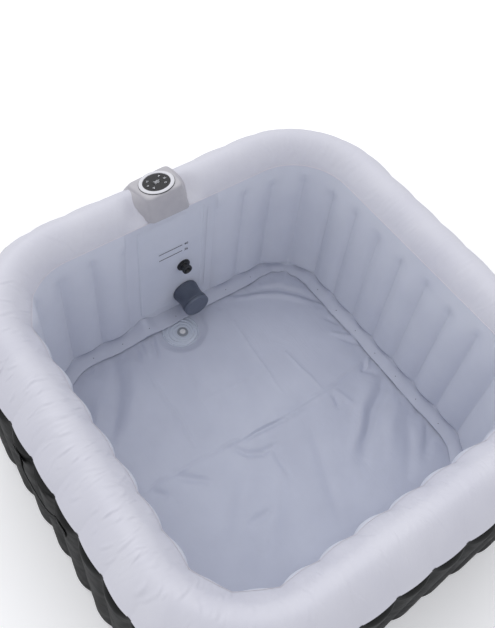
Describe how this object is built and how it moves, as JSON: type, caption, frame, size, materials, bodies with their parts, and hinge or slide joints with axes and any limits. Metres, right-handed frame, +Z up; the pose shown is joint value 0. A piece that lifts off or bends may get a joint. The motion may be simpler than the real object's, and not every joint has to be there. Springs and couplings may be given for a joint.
{
  "type": "inflatable hot tub",
  "caption": "Square inflatable hot tub with ribbed walls, a thick top roll, a pump unit in the back wall, a control panel on the roll, and a filter, outlet and drain.",
  "frame": {"origin": "on the ground, under the middle of the tub", "axes": "+Z up, +Y towards the wall with the pump unit and the control panel, +X to the right as seen from the wall opposite it"},
  "size_m": [1.5986, 1.57, 0.7001],
  "materials": {
    "white_pvc": "smooth semi-gloss PVC sheet",
    "grey_pvc": "smooth semi-gloss PVC sheet",
    "black_pvc": "satin laminated PVC sheet",
    "web_fabric": "coated mesh",
    "foam": "closed-cell foam",
    "light_abs": "fine satin moulding",
    "white_abs": "gloss moulding",
    "slate_abs": "satin moulding",
    "black_abs": "satin moulding",
    "gloss_black": "polished panel",
    "filter_paper": "pleated filter medium",
    "steel": "brushed",
    "hose": "smooth flexible tube",
    "rubber": "moulded",
    "circuit": "coated board",
    "webbing": "woven strap"
  },
  "bodies": {
    "tub": {"base_sheet": "black_pvc", "floor_pad": "foam", "floor_liner": "grey_pvc", "inner_wall": "grey_pvc", "outer_wall": "black_pvc", "top_roll": "white_pvc", "air_duct": "grey_pvc", "pump_panel": "grey_pvc", "internal_web": "web_fabric", "pump_case": "light_abs", "pump_cover": "black_abs", "cover_screw_1": "steel", "cover_screw_2": "steel", "cover_screw_3": "steel", "cover_screw_4": "steel", "pump_motor": "black_abs", "pump_volute": "black_abs", "suction_pipe": "hose", "heater": "steel", "outlet_pipe": "hose", "blower_housing": "light_abs", "blower_motor": "black_abs", "air_hose": "hose", "air_inlet": "black_abs", "power_board": "circuit", "harness_conduit": "hose", "control_cable": "rubber", "power_inlet": "rubber", "filter_fitting": "slate_abs", "filter_locknut": "black_abs", "outlet_fitting": "black_abs", "outlet_locknut": "black_abs", "drain_sump": "light_abs", "drain_ring": "light_abs", "drain_pipe": "hose", "drain_outlet": "black_abs", "control_housing": "light_abs", "bezel_ring": "white_abs", "panel_face": "gloss_black", "display_window": "gloss_black", "control_board": "circuit", "handle_left": "webbing", "handle_right": "webbing", "valve_body": "black_abs"},
    "filter": {"filter_housing": "slate_abs", "filter_cartridge": "filter_paper"},
    "filter_cap": {"filter_cap": "slate_abs"},
    "outlet_ring": {"outlet_ring": "black_abs"},
    "outlet_nozzle": {"outlet_nozzle": "black_abs"},
    "drain_plug": {"drain_plug": "white_abs"},
    "drain_cap": {"drain_cap": "black_abs"},
    "valve_cap": {"valve_cap": "black_abs"},
    "pump_rotor": {"pump_rotor": "steel"},
    "blower_rotor": {"blower_rotor": "light_abs"},
    "key_1": {"key_1": "gloss_black"},
    "key_2": {"key_2": "gloss_black"},
    "key_3": {"key_3": "gloss_black"},
    "key_4": {"key_4": "gloss_black"},
    "key_5": {"key_5": "gloss_black"},
    "key_6": {"key_6": "gloss_black"}
  },
  "joints": [
    {"name": "filter_pull", "type": "slide", "parent": "tub", "child": "filter", "axis": [0, -1, 0], "range_m": [0, 0.16]},
    {"name": "filter_cap_twist", "type": "hinge", "parent": "filter", "child": "filter_cap", "pos_m": [0.06, 0.5, 0.1266], "axis": [0, 1, 0], "range_deg": [0, 45]},
    {"name": "outlet_ring_turn", "type": "hinge", "parent": "tub", "child": "outlet_ring", "pos_m": [0.052, 0.579, 0.2876], "axis": [0, 1, 0], "range_deg": [-180, 180]},
    {"name": "outlet_nozzle_tilt", "type": "hinge", "parent": "outlet_ring", "child": "outlet_nozzle", "pos_m": [0.052, 0.579, 0.2876], "axis": [1, 0, 0], "range_deg": [-15, 15]},
    {"name": "drain_plug_lift", "type": "slide", "parent": "tub", "child": "drain_plug", "axis": [0, 0, 1], "range_m": [0, 0.04]},
    {"name": "drain_cap_turn", "type": "hinge", "parent": "tub", "child": "drain_cap", "pos_m": [-0.163, 0.77, 0.05], "axis": [0, 1, 0], "range_deg": [0, 90]},
    {"name": "valve_cap_turn", "type": "hinge", "parent": "tub", "child": "valve_cap", "pos_m": [0.785, 0.24814, 0.43], "axis": [1, 0, 0], "range_deg": [0, 90]},
    {"name": "pump_rotor_spin", "type": "hinge", "parent": "tub", "child": "pump_rotor", "pos_m": [-0.0203, 0.68, 0.1266], "axis": [1, 0, 0], "continuous": true},
    {"name": "blower_rotor_spin", "type": "hinge", "parent": "tub", "child": "blower_rotor", "pos_m": [-0.085, 0.68, 0.4346], "axis": [0, 1, 0], "continuous": true},
    {"name": "key_1_press", "type": "slide", "parent": "tub", "child": "key_1", "axis": [0, -0.1392, -0.9903], "range_m": [0, 0.0006], "stiffness_N_per_m": 800},
    {"name": "key_2_press", "type": "slide", "parent": "tub", "child": "key_2", "axis": [0, -0.1392, -0.9903], "range_m": [0, 0.0006], "stiffness_N_per_m": 800},
    {"name": "key_3_press", "type": "slide", "parent": "tub", "child": "key_3", "axis": [0, -0.1392, -0.9903], "range_m": [0, 0.0006], "stiffness_N_per_m": 800},
    {"name": "key_4_press", "type": "slide", "parent": "tub", "child": "key_4", "axis": [0, -0.1392, -0.9903], "range_m": [0, 0.0006], "stiffness_N_per_m": 800},
    {"name": "key_5_press", "type": "slide", "parent": "tub", "child": "key_5", "axis": [0, -0.1392, -0.9903], "range_m": [0, 0.0006], "stiffness_N_per_m": 800},
    {"name": "key_6_press", "type": "slide", "parent": "tub", "child": "key_6", "axis": [0, -0.1392, -0.9903], "range_m": [0, 0.0006], "stiffness_N_per_m": 800}
  ]
}
